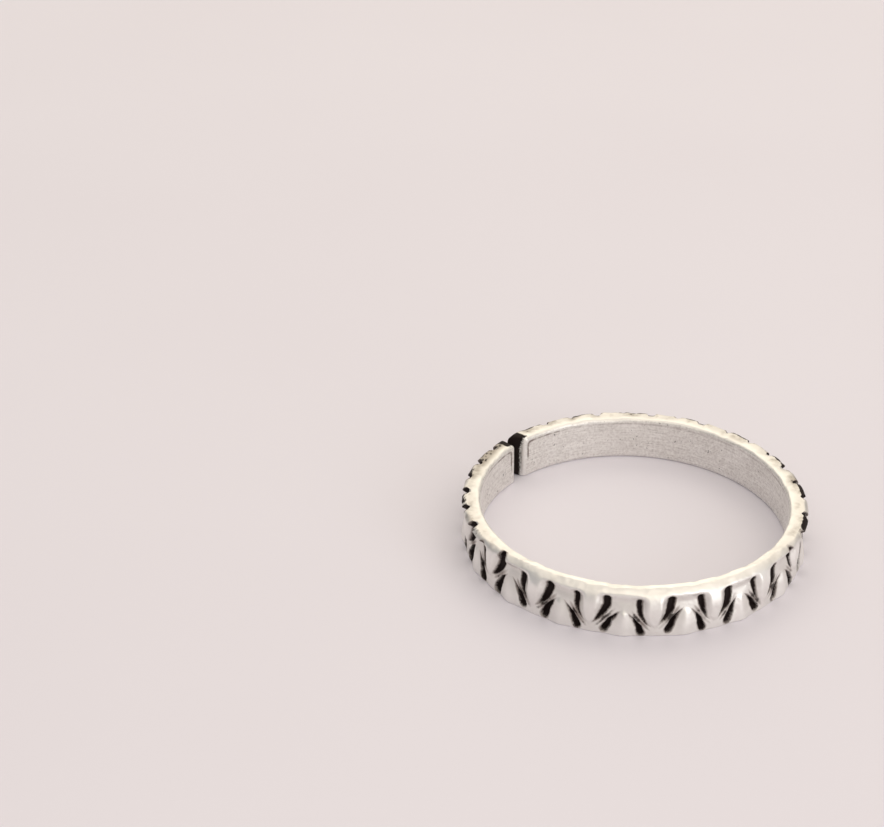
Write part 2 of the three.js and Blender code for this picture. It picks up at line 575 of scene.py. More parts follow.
@dataclass
class CastBand:
    """The ring itself: an open band of rounded section with grooves cut round each petal.

    Attributes:
        name: The band's name.
        inner_radius: Of the wall on the side of the toe.
        width: From rim to rim.
        thickness: From the wall to a petal's crown.
        petal_rise: From the ground between the petals to a petal's crown.
        slit_gap: Across the slit, at the wall.
        near_end_round: Round the end that the petals are counted from.
        far_end_round: Round the other end.
        far_end_slant: How far that end's outer corner reaches over the slit.
        slant_reach: How far back from that end its slant begins.
        upper_round: Where the outer face turns over into the upper rim.
        lower_round: Where it turns over into the lower rim.
        inner_edge: Round both edges of the wall.
        upper_lip: From the upper rim to the foot of the lip along it.
        wear: The share of the thickness that is rubbed off at the upper rim on its worn side.
        wear_reach: How far down from that rim the wear begins.
        wear_curve: How late the wear sets in. At 1 it grows evenly up to the rim.
        worn_deg: From the slit round to the middle of the worn side.
        uneven: The depth of the casting's unevenness on the outer face.
        lumps_per_mm: How close together that unevenness is.
        dent_depth: Of the deepest dents in the upper rim.
        dents_per_mm: How close together those dents are.
        petals: How many there are in each row.
        pitch_deg: From one petal to the next.
        petal_overrun: How far a petal goes on past the start of its grooves, into the rim.
        petal_spine: How far a petal's centre line runs, as a share of its length.
        petal_hip: Where along its grooves a petal turns in to its tip, as a share of their length.
        petal_drop: How late a petal drops to its tip. At 1 it drops evenly.
        petal_stray: How far a petal may lie from its place, along the band and up it.
        petal_lean: How far a petal may lean, in radians.
        smallest: The least that a petal may grow, across and along, as a share.
        largest: The most that it may grow.
        handles: Where a groove's two handles lie, as shares of the petal's length.
        groove_half_width: Of a groove at its start, before its own weight.
        groove_depth: From a petal's crown to the bottom of a groove.
        groove_pressure: The least and the most that a groove is pressed, as shares of its width.
        groove_unworn: How much broader a groove is on the unworn side, as a share of its width.
        groove_wander: How far a groove wanders, along the band and up it.
        wanders_per_mm: How close together its turns are.
        groove_step: From point to point along a groove.
        face_step: From point to point of the section on the outer face.
        wall_step: From point to point of the section elsewhere.
        columns: How many sections there are round the band.
        rows: Both rows of petals.
        finish: What the band is made of.
    """

    name: str = "silver_band"
    inner_radius: float = INNER_RADIUS
    width: float = WIDTH
    thickness: float = 1.0
    petal_rise: float = 0.3
    slit_gap: float = 0.8
    near_end_round: float = 0.1
    far_end_round: float = 0.3
    far_end_slant: float = 0.4
    slant_reach: float = 1.2
    upper_round: float = 0.28
    lower_round: float = 0.12
    inner_edge: float = 0.2
    upper_lip: float = 0.3
    wear: float = 0.5
    wear_reach: float = 1.4
    wear_curve: float = 2.5
    worn_deg: float = 135.0
    uneven: float = 0.05
    lumps_per_mm: float = 1.1
    dent_depth: float = 0.1
    dents_per_mm: float = 0.9
    petals: int = 17
    pitch_deg: float = 20.2
    petal_overrun: float = 0.4
    petal_spine: float = 0.78
    petal_hip: float = 0.6
    petal_drop: float = 1.7
    petal_stray: tuple[float, float] = (0.05, 0.04)
    petal_lean: float = 0.08
    smallest: tuple[float, float] = (0.92, 0.94)
    largest: tuple[float, float] = (1.08, 1.05)
    handles: tuple[float, float] = (0.36, 0.76)
    groove_half_width: float = 0.172
    groove_depth: float = 0.42
    groove_pressure: tuple[float, float] = (0.9, 1.25)
    groove_unworn: float = 0.7
    groove_wander: tuple[float, float] = (0.16, 0.1)
    wanders_per_mm: float = 2.2
    groove_step: float = 0.04
    face_step: float = 0.052
    wall_step: float = 0.16
    columns: int = 1050
    rows: tuple[PetalRow, ...] = (
        PetalRow(
            rim=Rim.UPPER,
            first_deg=14.4,
            inset=0.55,
            length=1.42,
            left=Stroke(start=0.72, side=0.76, turn=0.66, end=0.22, weight=0.76, taper=1.8),
            right=Stroke(start=0.88, side=0.84, turn=0.55, end=0.03, weight=0.94, taper=2.6),
            crown=0.6,
            tip=0.5,
            lift=0.38,
            seed=3,
        ),
        PetalRow(
            rim=Rim.LOWER,
            first_deg=24.5,
            inset=0.29,
            length=1.22,
            left=Stroke(start=0.86, side=0.7, turn=0.45, end=0.03, weight=0.98, taper=1.8),
            right=Stroke(start=0.96, side=0.8, turn=0.53, end=0.03, weight=0.94, taper=1.3),
            crown=1.0,
            tip=0.1,
            lift=0.0,
            seed=8,
        ),
    )
    finish: OxidisedSilver = field(default_factory=OxidisedSilver)

    def row_tree(self) -> Tree:
        """Builds the tree for one row of petals, laid out flat: X along the band and Y up it.

        Returns:
            A tree that gives the grooves and the petals' centre lines as curves, and the petals as faces.
        """
        strokes = [f"{side} {part.name.title()}" for side in ("Left", "Right") for part in fields(Stroke)]
        floats = ["First", "Pitch", "Base", "Length", *strokes, "Points Up", "Radius", "Worn", "Lift"]
        inputs = {"Count": "Int", **dict.fromkeys(floats, "Float"), "Seed": "Int"}
        tree, sizes = new_geometry_tree("petal_row", inputs, ["Grooves", "Spines", "Petals"])
        size = sizes.outputs
        near, far, reach = (
            add_node(tree, MATH, {0: size["Length"], 1: share}, operation="MULTIPLY")
            for share in (*self.handles, self.petal_spine)
        )
        low = add_node(tree, COMBINE, {"Y": -self.petal_overrun})
        end = add_node(tree, COMBINE, {"Y": size["Length"]})
        outline = tree.nodes.new("GeometryNodeJoinGeometry")
        petal = tree.nodes.new("GeometryNodeJoinGeometry")
        for which, sign in (("Left", -1.0), ("Right", 1.0)):
            start = add_node(tree, COMBINE, {"X": size[f"{which} Start"]})
            side = add_node(tree, COMBINE, {"X": size[f"{which} Side"], "Y": near})
            turn = add_node(tree, COMBINE, {"X": size[f"{which} Turn"], "Y": far})
            tip = add_node(tree, COMBINE, {"X": size[f"{which} End"], "Y": size["Length"]})
            groove = add_node(
                tree,
                "GeometryNodeCurvePrimitiveBezierSegment",
                {"Resolution": 24, "Start": start, "Start Handle": side, "End Handle": turn, "End": tip},
            )
            cut = add_node(tree, TRANSFORM, {"Geometry": groove, "Scale": (sign, 1, 1)})
            for label in ("Weight", "Taper"):
                cut = add_node(
                    tree,
                    STORE,
                    {"Geometry": cut, "Name": label.lower(), "Value": size[f"{which} {label}"]},
                    data_type="FLOAT",
                    domain="POINT",
                )
            tree.links.new(cut.outputs[0], outline.inputs[0])
            turned_in = {"Curves": groove, "Factor": self.petal_hip}
            hip = add_node(tree, "GeometryNodeSampleCurve", turned_in).outputs["Position"]
            foot = add_node(tree, COMBINE, {"X": size[f"{which} Start"], "Y": -self.petal_overrun})
            half = add_node(
                tree,
                "GeometryNodeCurvePrimitiveQuadrilateral",
                {"Point 1": low, "Point 2": foot, "Point 3": hip, "Point 4": end},
                mode="POINTS",
            )
            filled = add_node(tree, "GeometryNodeFillCurve", {"Curve": half})
            turned = add_node(tree, TRANSFORM, {"Geometry": filled, "Scale": (sign, 1, 1)})
            tree.links.new(turned.outputs[0], petal.inputs[0])
        high = add_node(tree, COMBINE, {"Y": reach})
        spine = add_node(tree, "GeometryNodeCurvePrimitiveLine", {"Start": low, "End": high})

        first = add_node(tree, COMBINE, {"X": size["First"], "Y": size["Base"]})
        pitch = add_node(tree, COMBINE, {"X": size["Pitch"]})
        line = add_node(
            tree,
            "GeometryNodeMeshLine",
            {"Count": size["Count"], "Start Location": first, "Offset": pitch},
            mode="OFFSET",
        )

        # Each petal strays a little from its place, leans a little and is a little larger or smaller.
        across, up = self.petal_stray
        ranges = (
            ((-across, -up, 0), (across, up, 0)),
            ((0, 0, -self.petal_lean), (0, 0, self.petal_lean)),
            ((*self.smallest, 1), (*self.largest, 1)),
        )
        stray, lean, growth = (
            add_node(
                tree, RANDOM, {"Min": least, "Max": most, "Seed": size["Seed"]}, data_type="FLOAT_VECTOR"
            )
            for least, most in ranges
        )
        place = add_node(tree, POSITION)
        along = add_node(tree, SEPARATE, {0: place}).outputs["X"]
        angle = add_node(tree, MATH, {0: along, 1: size["Radius"]}, operation="DIVIDE")
        kept = self.unworn(tree, angle, size["Worn"])
        lift = add_node(tree, MATH, {0: kept, 1: size["Lift"]}, operation="MULTIPLY")
        higher = add_node(tree, COMBINE, {"Y": lift})
        shift = add_node(tree, VECTOR_MATH, {0: stray, 1: higher}, operation="ADD")
        places = add_node(tree, MOVE, {"Geometry": line, "Offset": shift})
        leaning = add_node(tree, "FunctionNodeEulerToRotation", {"Euler": lean})
        facing = add_node(tree, COMBINE, {"X": 1.0, "Y": size["Points Up"], "Z": 1.0})
        scale = add_node(tree, VECTOR_MATH, {0: growth, 1: facing}, operation="MULTIPLY")
        out = tree.nodes.new("NodeGroupOutput")
        for label, shape in (("Grooves", outline), ("Spines", spine), ("Petals", petal)):
            copies = add_node(
                tree,
                "GeometryNodeInstanceOnPoints",
                {"Points": places, "Instance": shape, "Rotation": leaning, "Scale": scale},
            )
            real = add_node(tree, "GeometryNodeRealizeInstances", {"Geometry": copies})
            tree.links.new(real.outputs[0], out.inputs[label])
        return tree

    def unworn(self, tree: Tree, angle: Node, worn: Socket) -> Node:
        """Adds the share of the upper rim's cut edge that wear has left.

        Args:
            tree: The tree that the nodes go into.
            angle: The node that gives the angle round the ring from the slit.
            worn: The socket that gives the angle of the side that is worn smooth.

        Returns:
            A node that gives 0 on the worn side and 1 on the far side.
        """
        turn = add_node(tree, MATH, {0: angle, 1: worn}, operation="SUBTRACT")
        side = add_node(tree, MATH, {0: turn}, operation="COSINE")
        return add_node(tree, MAP_RANGE, {"Value": side, "From Min": 0.8, "From Max": 0.3}, **SMOOTH)

    def sizes(self) -> dict[str, Any]:
        """Works out what goes into the band's tree.

        Returns:
            Input name to a size in millimetres, an angle in radians, a share or a count.
        """
        return {
            "Inner Radius": self.inner_radius,
            "Width": self.width,
            "Thickness": self.thickness,
            "Petal Rise": self.petal_rise,
            "Slit Angle": 2 * math.asin(self.slit_gap / 2 / self.inner_radius),
            "Near End Round": self.near_end_round,
            "Far End Round": self.far_end_round,
            "Far End Slant": self.far_end_slant,
            "Upper Round": self.upper_round,
            "Lower Round": self.lower_round,
            "Inner Edge": self.inner_edge,
            "Upper Lip": self.upper_lip,
            "Wear": self.wear,
            "Worn": math.radians(self.worn_deg),
            "Groove Half Width": self.groove_half_width,
            "Groove Depth": self.groove_depth,
            "Petals": self.petals,
            "Pitch": math.radians(self.pitch_deg),
            "Columns": self.columns,
        }

    def band_tree(self) -> Tree:
        """Builds the tree that sweeps the band, sinks the ground between its petals and cuts its grooves.

        Returns:
            A tree whose one output is the finished mesh, in metres.
        """
        values = self.sizes()
        inputs = {label: "Int" if isinstance(value, int) else "Float" for label, value in values.items()}
        tree, sizes = new_geometry_tree("cast_band", inputs | {"Silver": "Material"}, ["Band"])
        size = sizes.outputs
        crown = add_node(tree, MATH, {0: size["Inner Radius"], 1: size["Thickness"]}, operation="ADD")
        ground = add_node(tree, MATH, {0: crown, 1: size["Petal Rise"]}, operation="SUBTRACT")
        rows = self.lay_out_rows(tree, size, ground)
        mesh = self.sweep(tree, size)
        spot = self.lay_flat(tree, size, ground, rows)
        offset, marks = self.relief(tree, size, spot, crown, ground)
        for label, value in marks.items():
            mesh = add_node(
                tree,
                STORE,
                {"Geometry": mesh, "Name": label, "Value": value},
                data_type="FLOAT_VECTOR" if label == "strip" else "FLOAT",
                domain="POINT",
            )
        shaped = add_node(tree, MOVE, {"Geometry": mesh, "Offset": offset})
        metres = add_node(tree, TRANSFORM, {"Geometry": shaped, "Scale": (MM, MM, MM)})
        smooth = add_node(tree, "GeometryNodeSetShadeSmooth", {"Geometry": metres})
        real = add_node(tree, "GeometryNodeRealizeInstances", {"Geometry": smooth})
        dressed = add_node(tree, "GeometryNodeSetMaterial", {"Geometry": real, "Material": size["Silver"]})
        add_node(tree, "NodeGroupOutput", {"Band": dressed})
        return tree

    def lay_flat(self, tree: Tree, size: Sockets, ground: Node, rows: list[LaidRow]) -> BandSpot:
        """Adds the fields that say where a point of the band lies when its face is laid out flat.

        Args:
            tree: The band's tree.
            size: The sockets of its group input.
            ground: The node that gives the radius of the ground between the petals.
            rows: Both rows of petals, laid out flat.

        Returns:
            The fields.
        """
        place = add_node(tree, POSITION)
        axes = add_node(tree, SEPARATE, {0: place}).outputs
        flat = add_node(tree, COMBINE, {"X": axes["X"], "Y": axes["Y"]})
        radius = add_node(tree, VECTOR_MATH, {0: flat}, operation="LENGTH").outputs["Value"]
        outwards = add_node(tree, VECTOR_MATH, {0: flat}, operation="NORMALIZE")
        back = add_node(tree, MATH, {0: axes["X"], 1: -1.0}, operation="MULTIPLY")
        turn = add_node(tree, MATH, {0: back, 1: axes["Y"]}, operation="ARCTAN2")
        angle = add_node(tree, MATH, {0: turn, 1: math.tau}, operation="FLOORED_MODULO")
        arc = add_node(tree, MATH, {0: angle, 1: ground}, operation="MULTIPLY")
        strip = add_node(tree, COMBINE, {"X": arc, "Y": axes["Z"]})
        stored = add_node(tree, NAMED, {"Name": "half_width"}, data_type="FLOAT")
        edges = []
        from_spines = []
        from_petals = []
        for row in rows:
            index = add_node(
                tree, "GeometryNodeSampleNearest", {"Geometry": row.grooves, "Sample Position": strip}
            )
            half = add_node(
                tree,
                "GeometryNodeSampleIndex",
                {"Geometry": row.grooves, "Value": stored, "Index": index},
                data_type="FLOAT",
            )
            to_groove, to_spine, to_petal = (
                add_node(
                    tree,
                    "GeometryNodeProximity",
                    {"Geometry": shape, "Sample Position": strip},
                    target_element=element,
                ).outputs["Distance"]
                for shape, element in ((row.grooves, "EDGES"), (row.spines, "EDGES"), (row.petals, "FACES"))
            )
            edges.append(add_node(tree, MATH, {0: to_groove, 1: half}, operation="SUBTRACT"))
            from_spines.append(to_spine)
            from_petals.append(to_petal)
        from_end = add_node(tree, NAMED, {"Name": "from_end"}, data_type="FLOAT")
        full = add_node(tree, COMBINE, {"X": arc, "Y": axes["Z"], "Z": radius})
        unworn = self.unworn(tree, angle, size["Worn"])
        return BandSpot(
            place, outwards, full, axes["Z"], radius, edges, from_spines, from_petals, from_end, unworn
        )

    def swell_petals(self, tree: Tree, spot: BandSpot, away: Node, to_top: Socket) -> tuple[Node, Node]:
        """Adds the petals, which swell from their grooves to their centre lines and drop to their tips.

        Args:
            tree: The band's tree.
            spot: Where a point lies.
            away: The node that gives the millimetres from the edge of the nearest groove.
            to_top: The socket that gives the millimetres down from the upper rim.

        Returns:
            A node that gives a petal's height as a share, and one that gives 1 beside the hanging petals.
        """
        swells = []
        outside = {}
        for row, from_spine, from_petal in zip(self.rows, spot.from_spines, spot.from_petals):
            both = add_node(tree, MATH, {0: away, 1: from_spine}, operation="ADD")
            share = add_node(tree, MATH, {0: away, 1: both}, operation="DIVIDE")
            dome = add_node(tree, MAP_RANGE, {"Value": share, "From Max": row.crown}, **SMOOTH)
            along = add_node(
                tree,
                MAP_RANGE,
                {
                    "Value": spot.height if row.rim is Rim.LOWER else to_top,
                    "From Min": row.inset,
                    "From Max": row.inset + row.length,
                },
            )
            bent = add_node(tree, MATH, {0: along, 1: self.petal_drop}, operation="POWER")
            slope = add_node(tree, MAP_RANGE, {"Value": bent, "To Min": 1.0, "To Max": row.tip})
            within = add_node(tree, MAP_RANGE, {"Value": from_petal, "From Min": 0.1, "From Max": 0.0})
            outside[row.rim] = add_node(tree, MATH, {0: 1.0, 1: within}, operation="SUBTRACT")
            wedge = add_node(tree, MATH, {0: dome, 1: slope}, operation="MULTIPLY")
            swells.append(add_node(tree, MATH, {0: wedge, 1: within}, operation="MULTIPLY"))
        swell = add_node(tree, MATH, dict(enumerate(swells)), operation="MAXIMUM")
        return swell, outside[Rim.UPPER]

    def relief(
        self, tree: Tree, size: Sockets, spot: BandSpot, crown: Node, ground: Node
    ) -> tuple[Node, dict[str, Node]]:
        """Adds the relief of the outer face: the sunken ground, the grooves and the dents of a worn casting.

        Args:
            tree: The band's tree.
            size: The sockets of its group input.
            spot: Where a point lies.
            crown: The node that gives the radius of a petal's crown.
            ground: The node that gives the radius of the ground between the petals.

        Returns:
            How far each point moves, and the attributes that the finish reads.
        """
        edge = add_node(tree, MATH, dict(enumerate(spot.edges)), operation="MINIMUM")
        away = add_node(tree, MATH, {0: edge, 1: 0.0}, operation="MAXIMUM")
        to_top = add_node(tree, MATH, {0: size["Width"], 1: spot.height}, operation="SUBTRACT").outputs[0]
        swell, beside = self.swell_petals(tree, spot, away, to_top)
        sunken = add_node(tree, MATH, {0: 1.0, 1: swell}, operation="SUBTRACT")

        # The ground is sunk deeper the higher it is, up to a lip along the upper rim, which wanders and is
        # softer on the worn side. It rises to the full thickness at each end.
        lump = add_node(tree, NOISE, {"Vector": spot.place, "Scale": self.lumps_per_mm, "Detail": 2.0})
        wavy = add_node(tree, MATH, {0: lump, 1: -0.2, 2: to_top}, operation="MULTIPLY_ADD")
        past = add_node(tree, MATH, {0: wavy, 1: size["Upper Lip"]}, operation="SUBTRACT")
        soft = add_node(tree, MAP_RANGE, {"Value": spot.unworn, "To Min": 0.32, "To Max": 0.12})
        below = add_node(tree, MAP_RANGE, {"Value": past, "From Min": -0.2, "From Max": soft}, **SMOOTH)
        # A painted shadow line follows the foot of the lip, off the petals, crisper where the rim isn't worn.
        foot = add_node(tree, MATH, {0: past}, operation="ABSOLUTE")
        crisp = add_node(tree, MAP_RANGE, {"Value": spot.unworn, "To Min": 0.3})
        under_lip = add_node(
            tree, MAP_RANGE, {"Value": foot, "From Min": 0.14, "From Max": 0.04, "To Max": crisp}
        )
        in_lip_shadow = add_node(tree, MATH, {0: under_lip, 1: sunken}, operation="MULTIPLY")
        deeper = add_node(
            tree,
            MAP_RANGE,
            {"Value": to_top, "From Min": 2.2, "From Max": 0.3, "To Min": 0.4, "To Max": 1.05},
        )
        for share in (below, deeper):
            sunken = add_node(tree, MATH, {0: sunken, 1: share}, operation="MULTIPLY")
        inside = add_node(
            tree, MAP_RANGE, {"Value": spot.from_end, "From Min": 0.45, "From Max": 0.9}, **SMOOTH
        )
        proud = add_node(tree, MATH, {0: spot.radius, 1: ground}, operation="SUBTRACT")
        face = add_node(tree, MAP_RANGE, {"Value": proud, "From Min": -0.1, "From Max": 0.1})
        sunken = add_node(tree, MATH, {0: sunken, 1: inside}, operation="MULTIPLY")
        hollow = add_node(tree, MATH, {0: sunken, 1: face}, operation="MULTIPLY")
        standing = add_node(tree, MATH, {0: proud, 1: 0.0}, operation="MAXIMUM")
        lowered = add_node(tree, MATH, {0: hollow, 1: standing}, operation="MULTIPLY")

        # A groove is cut down to one depth, so it runs out where the face turns over into a rim.
        bottom = add_node(tree, MATH, {0: crown, 1: size["Groove Depth"]}, operation="SUBTRACT")
        over = add_node(tree, MATH, {0: spot.radius, 1: bottom}, operation="SUBTRACT")
        metal = add_node(tree, MATH, {0: over, 1: 0.0}, operation="MAXIMUM")
        left = add_node(tree, MATH, {0: metal, 1: lowered}, operation="SUBTRACT")
        cut = add_node(tree, MAP_RANGE, {"Value": edge, "From Min": 0.03, "From Max": -0.09}, **SMOOTH)
        rising = add_node(tree, MAP_RANGE, {"Value": spot.height, "From Max": 0.05})
        cut_up = add_node(tree, MATH, {0: cut, 1: rising}, operation="MULTIPLY")
        sunk = add_node(tree, MATH, {0: cut_up, 1: left, 2: lowered}, operation="MULTIPLY_ADD")
        uneven = add_node(
            tree, MAP_RANGE, {"Value": lump, "From Min": 0.3, "From Max": 0.7, "To Max": self.uneven}
        )
        worn = add_node(tree, MATH, {0: uneven, 1: face, 2: sunk}, operation="MULTIPLY_ADD")

        # On its worn side the band is rounded over towards its upper rim.
        upper = add_node(tree, MAP_RANGE, {"Value": to_top, "From Min": self.wear_reach, "From Max": 0.0})
        curved = add_node(tree, MATH, {0: upper, 1: self.wear_curve}, operation="POWER")
        smoothed = add_node(tree, MATH, {0: 1.0, 1: spot.unworn}, operation="SUBTRACT")
        rubbed = add_node(tree, MATH, {0: curved, 1: smoothed}, operation="MULTIPLY")
        bowed = add_node(tree, MATH, {0: rubbed, 1: size["Wear"]}, operation="MULTIPLY")
        wall = add_node(tree, MATH, {0: spot.radius, 1: size["Inner Radius"]}, operation="SUBTRACT")
        gone = add_node(tree, MATH, {0: bowed, 1: wall, 2: worn}, operation="MULTIPLY_ADD")
        inwards = add_node(tree, MATH, {0: gone, 1: -1.0}, operation="MULTIPLY")
        radial = add_node(tree, VECTOR_MATH, {0: spot.outwards, "Scale": inwards}, operation="SCALE")

        # The upper rim is dented a little too.
        dent = add_node(tree, NOISE, {"Vector": spot.place, "Scale": self.dents_per_mm, "Detail": 2.0})
        dented = add_node(tree, MAP_RANGE, {"Value": dent, "From Min": 0.4, "From Max": 0.75})
        upmost = {"Value": to_top, "From Min": 0.4, "From Max": 0.05, "To Max": -self.dent_depth}
        by_top = add_node(tree, MAP_RANGE, upmost, **SMOOTH)
        down = add_node(tree, MATH, {0: by_top, 1: dented}, operation="MULTIPLY")
        level = add_node(tree, COMBINE, {"Z": down})
        offset = add_node(tree, VECTOR_MATH, {0: radial, 1: level}, operation="ADD")

        # The finish reads the place, the millimetres from the nearest groove's edge and from one of each row,
        # how far the ground is sunk, where the painted shadow line under the lip lies, where the lip is, and
        # where the rim isn't worn.
        reach = add_node(tree, MAP_RANGE, {"Value": over, "From Min": 0.02, "From Max": 0.08})
        clear = add_node(tree, MIX, {"Factor": reach, "A": 1.0, "B": edge}, data_type="FLOAT")
        between = add_node(tree, MATH, dict(enumerate(spot.edges)), operation="MAXIMUM")
        apart = add_node(tree, MIX, {"Factor": reach, "A": 1.0, "B": between}, data_type="FLOAT")
        lee = add_node(tree, MATH, {0: in_lip_shadow, 1: face}, operation="MULTIPLY")
        outermost = add_node(tree, MAP_RANGE, {"Value": over, "From Min": 0.04, "From Max": 0.16})
        highest = add_node(tree, MAP_RANGE, {"Value": to_top, "From Min": 0.45, "From Max": 0.25})
        lip = spot.unworn
        for share in (beside, outermost, highest):
            lip = add_node(tree, MATH, {0: lip, 1: share}, operation="MULTIPLY")
        return offset, {
            "strip": spot.strip,
            "groove": clear,
            "ridge": apart,
            "hollow": hollow,
            "lee": lee,
            "lip": lip,
            "unworn": spot.unworn,
        }

    def lay_out_rows(self, tree: Tree, size: Sockets, ground: Node) -> list[LaidRow]:
        """Adds both rows of petals to the band's tree, laid out flat.

        Args:
            tree: The band's tree.
            size: The sockets of its group input.
            ground: The node that gives the radius of the ground between the petals.

        Returns:
            The rows.
        """
        petals = self.row_tree()
        spacing = add_node(tree, MATH, {0: size["Pitch"], 1: ground}, operation="MULTIPLY")
        laid_out = []
        for row in self.rows:
            first = add_node(tree, MATH, {0: ground, 1: math.radians(row.first_deg)}, operation="MULTIPLY")
            base = row.inset if row.rim is Rim.LOWER else self.width - row.inset
            values = {
                "Count": size["Petals"],
                "First": first,
                "Pitch": spacing,
                "Base": base,
                "Length": row.length,
                "Points Up": float(row.rim.value),
                "Radius": ground,
                "Worn": size["Worn"],
                "Lift": row.lift,
                "Seed": row.seed,
            }
            for label, stroke in (("Left", row.left), ("Right", row.right)):
                values |= {f"{label} {name.title()}": share for name, share in asdict(stroke).items()}
            laid = add_node(tree, "GeometryNodeGroup", values, node_tree=petals)
            grooves = self.engrave(tree, size, ground, laid.outputs["Grooves"])
            spines = add_node(tree, CURVE_TO_MESH, {"Curve": laid.outputs["Spines"]})
            laid_out.append(LaidRow(grooves, spines, laid.outputs["Petals"]))
        return laid_out

    def engrave(self, tree: Tree, size: Sockets, ground: Node, strokes: Socket) -> Node:
        """Gives each groove its width, as a graver cuts it: blunt at the start and gone before the tip.

        Args:
            tree: The band's tree.
            size: The sockets of its group input.
            ground: The node that gives the radius of the ground between the petals.
            strokes: One row's grooves as curves, which carry their weight and taper.

        Returns:
            The grooves as edges, with their half width at each point.
        """
        points = add_node(
            tree, "GeometryNodeResampleCurve", {"Curve": strokes, "Length": self.groove_step}, mode="LENGTH"
        )
        along = add_node(tree, "GeometryNodeSplineParameter").outputs["Factor"]
        taper = add_node(tree, NAMED, {"Name": "taper"}, data_type="FLOAT")
        spent = add_node(tree, MATH, {0: along, 1: taper}, operation="POWER")
        stroke = add_node(tree, MAP_RANGE, {"Value": spent, "To Min": 1.0, "To Max": -0.6})
        least, most = self.groove_pressure
        pressure = add_node(tree, RANDOM, {"Min": least, "Max": most, "Seed": 5}, data_type="FLOAT")
        per_stroke = add_node(
            tree, "GeometryNodeFieldOnDomain", {"Value": pressure}, data_type="FLOAT", domain="CURVE"
        )
        weight = add_node(tree, NAMED, {"Name": "weight"}, data_type="FLOAT")
        place = add_node(tree, POSITION)
        arc = add_node(tree, SEPARATE, {0: place}).outputs["X"]
        angle = add_node(tree, MATH, {0: arc, 1: ground}, operation="DIVIDE")
        sharp = self.unworn(tree, angle, size["Worn"])
        broad = add_node(
            tree, MATH, {0: sharp, 1: self.groove_unworn, 2: per_stroke}, operation="MULTIPLY_ADD"
        )
        leant_on = add_node(tree, MATH, {0: weight, 1: broad}, operation="MULTIPLY")
        pressed = add_node(tree, MATH, {0: stroke, 1: leant_on}, operation="MULTIPLY")
        half = add_node(tree, MATH, {0: pressed, 1: size["Groove Half Width"]}, operation="MULTIPLY")
        kept = add_node(
            tree,
            STORE,
            {"Geometry": points, "Name": "half_width", "Value": half},
            data_type="FLOAT",
            domain="POINT",
        )
        wander = add_node(tree, NOISE, {"Scale": self.wanders_per_mm, "Detail": 1.0}).outputs["Color"]
        centred = add_node(tree, VECTOR_MATH, {0: wander, 1: (0.5, 0.5, 0.5)}, operation="SUBTRACT")
        small = add_node(tree, VECTOR_MATH, {0: centred, 1: (*self.groove_wander, 0)}, operation="MULTIPLY")
        moved = add_node(tree, MOVE, {"Geometry": kept, "Offset": small})
        return add_node(tree, CURVE_TO_MESH, {"Curve": moved})

    def sweep(self, tree: Tree, size: Sockets) -> Node:
        """Adds the plain band to its tree: a rounded section swept from one side of the slit to the other.

        Args:
            tree: The band's tree.
            size: The sockets of its group input.

        Returns:
            The band's closed mesh, still without relief.
        """
        middle = add_node(
            tree, MATH, {0: size["Thickness"], 1: 0.5, 2: size["Inner Radius"]}, operation="MULTIPLY_ADD"
        )
        # The sweep turns the section's Y downwards.
        section = add_node(
            tree,
            "GeometryNodeCurvePrimitiveQuadrilateral",
            {"Width": size["Thickness"], "Height": size["Width"]},
            mode="RECTANGLE",
        )
        place = add_node(tree, POSITION)
        axes = add_node(tree, SEPARATE, {0: place}).outputs
        is_outer = add_node(tree, MATH, {0: axes["X"], 1: 0.0}, operation="GREATER_THAN")
        is_upper = add_node(tree, MATH, {0: axes["Y"], 1: 0.0}, operation="LESS_THAN")
        rim = add_node(
            tree,
            MIX,
            {"Factor": is_upper, "A": size["Lower Round"], "B": size["Upper Round"]},
            data_type="FLOAT",
        )
        corner = add_node(
            tree, MIX, {"Factor": is_outer, "A": size["Inner Edge"], "B": rim}, data_type="FLOAT"
        )
        rounded = add_node(
            tree, "GeometryNodeFilletCurve", {"Curve": section, "Count": 6, "Radius": corner}, mode="POLY"
        )

        # Points lie close together on the outer face, where the relief is, and far apart on the plain wall.
        following = add_node(tree, "GeometryNodeOffsetPointInCurve", {"Offset": 1}).outputs["Point Index"]
        there = add_node(
            tree, "GeometryNodeFieldAtIndex", {"Value": place, "Index": following}, data_type="FLOAT_VECTOR"
        )
        step = add_node(tree, VECTOR_MATH, {0: place, 1: there}, operation="DISTANCE").outputs["Value"]
        both = add_node(tree, VECTOR_MATH, {0: place, 1: there}, operation="ADD")
        both_x = add_node(tree, SEPARATE, {0: both}).outputs["X"]
        on_face = add_node(tree, MATH, {0: both_x, 1: 0.45}, operation="GREATER_THAN")
        spacing = add_node(
            tree, MIX, {"Factor": on_face, "A": self.wall_step, "B": self.face_step}, data_type="FLOAT"
        )
        cuts = add_node(tree, MATH, {0: step, 1: spacing}, operation="DIVIDE")
        divided = add_node(tree, "GeometryNodeSubdivideCurve", {"Curve": rounded, "Cuts": cuts})

